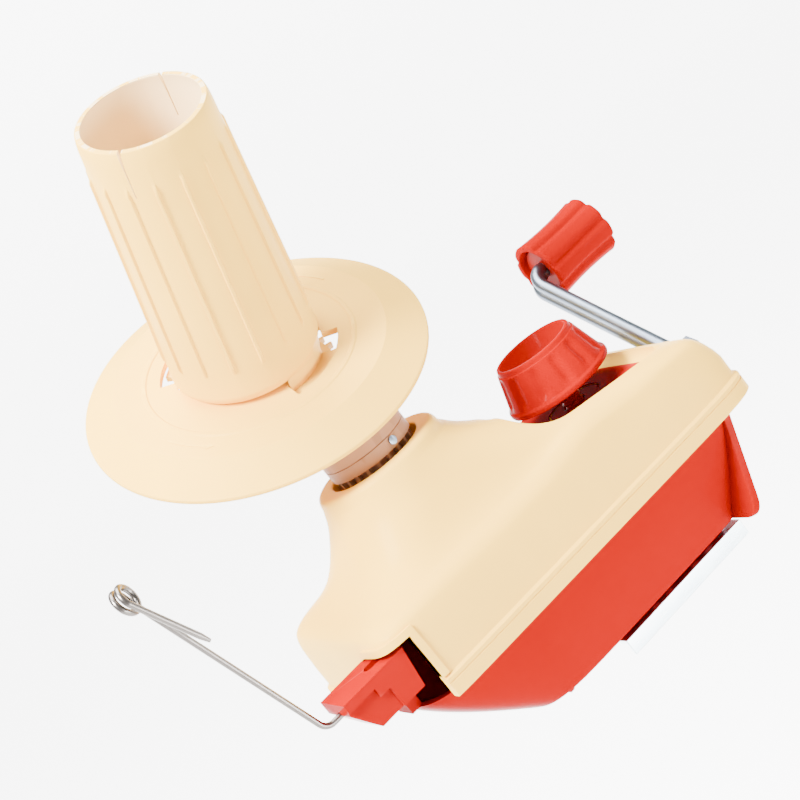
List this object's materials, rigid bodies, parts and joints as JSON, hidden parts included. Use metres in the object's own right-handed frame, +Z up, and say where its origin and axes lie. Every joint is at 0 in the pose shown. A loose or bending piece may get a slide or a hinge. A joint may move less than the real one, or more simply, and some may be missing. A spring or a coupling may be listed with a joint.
{
  "type": "yarn ball winder",
  "caption": "Hand-cranked yarn ball winder: tilted ribbed bobbin on a flange, geared neck, cream cover over a red base, crank, table clamp and wire yarn guide.",
  "frame": {"origin": "where the upright spindle line meets the clamping face under the base", "axes": "+X towards the crank end, +Y to the far side, +Z up along the spindle"},
  "size_m": [0.2522, 0.1241, 0.2485],
  "materials": {
    "base": "moulded",
    "cover": "moulded",
    "screws": "plain",
    "guide_block": "moulded",
    "wire": "plain",
    "spindle": "plain",
    "gear": "moulded",
    "washer": "plain",
    "bearing": "moulded",
    "bush": "moulded",
    "arm": "plain",
    "grip": "moulded",
    "hub": "moulded",
    "flange": "moulded",
    "bobbin": "moulded",
    "clamp_bush": "moulded",
    "clamp_knob": "moulded",
    "clamp_screw": "moulded",
    "jaw": "plain"
  },
  "bodies": {
    "housing": {"base": "base", "cover": "cover", "housing_screws": "screws", "guide_block": "guide_block", "spindle": "spindle", "sun_gear": "gear", "thrust_washer": "washer", "bearing_block": "bearing", "crank_bush": "bush", "clamp_bush": "clamp_bush"},
    "crank": {"crank_shaft": "spindle", "drive_gear": "gear", "drive_pin": "spindle", "crank_arm": "arm", "arm_nut": "screws", "grip_post": "arm", "grip_cap": "spindle"},
    "grip": {"crank_grip": "grip"},
    "head": {"hub": "hub", "hub_pin": "spindle", "stub_axle": "spindle", "stub_washer": "washer", "flange_nut": "screws"},
    "spool": {"bobbin_gear": "gear", "flange": "flange"},
    "bobbin": {"bobbin": "bobbin"},
    "clamp_screw": {"clamp_knob": "clamp_knob", "clamp_screw": "clamp_screw", "clamp_clip": "spindle"},
    "clamp_jaw": {"clamp_jaw": "jaw", "clamp_sleeve": "screws"},
    "guide_wire": {"guide_wire": "wire"}
  },
  "joints": [
    {"name": "crank_spin", "type": "hinge", "parent": "housing", "child": "crank", "pos_m": [0.06, 0, 0.046], "axis": [1, 0, 0], "continuous": true},
    {"name": "grip_spin", "type": "hinge", "parent": "crank", "child": "grip", "pos_m": [0.13, 0.0583, 0.08993], "axis": [1, 0, 0], "continuous": true},
    {"name": "head_spin", "type": "hinge", "parent": "housing", "child": "head", "pos_m": [0, 0, 0.1], "axis": [0, 0, 1], "continuous": true},
    {"name": "spool_spin", "type": "hinge", "parent": "head", "child": "spool", "pos_m": [-0.00324, 0.03083, 0.13831], "axis": [0.0523, -0.4973, 0.866], "continuous": true},
    {"name": "bobbin_twist", "type": "hinge", "parent": "spool", "child": "bobbin", "pos_m": [-0.0028, 0.0266, 0.14567], "axis": [0.0523, -0.4973, 0.866], "range_deg": [0, 25]},
    {"name": "clamp_turn", "type": "hinge", "parent": "housing", "child": "clamp_screw", "pos_m": [0.075, 0.012, 0.06], "axis": [0, 0, 1], "range_deg": [0, 2971]},
    {"name": "jaw_slide", "type": "slide", "parent": "housing", "child": "clamp_jaw", "axis": [0, 0, 1], "range_m": [-0.033, 0]},
    {"name": "guide_swing", "type": "hinge", "parent": "housing", "child": "guide_wire", "pos_m": [-0.065, -0.027, 0.054], "axis": [1, 0, 0], "range_deg": [-75, 75]}
  ],
  "couplings": [
    {"joint": "head_spin", "follows": "crank_spin", "ratio": -2.6667},
    {"joint": "spool_spin", "follows": "crank_spin", "ratio": -0.88889},
    {"joint": "clamp_turn", "follows": "jaw_slide", "rad_per_m": -1570.8}
  ]
}
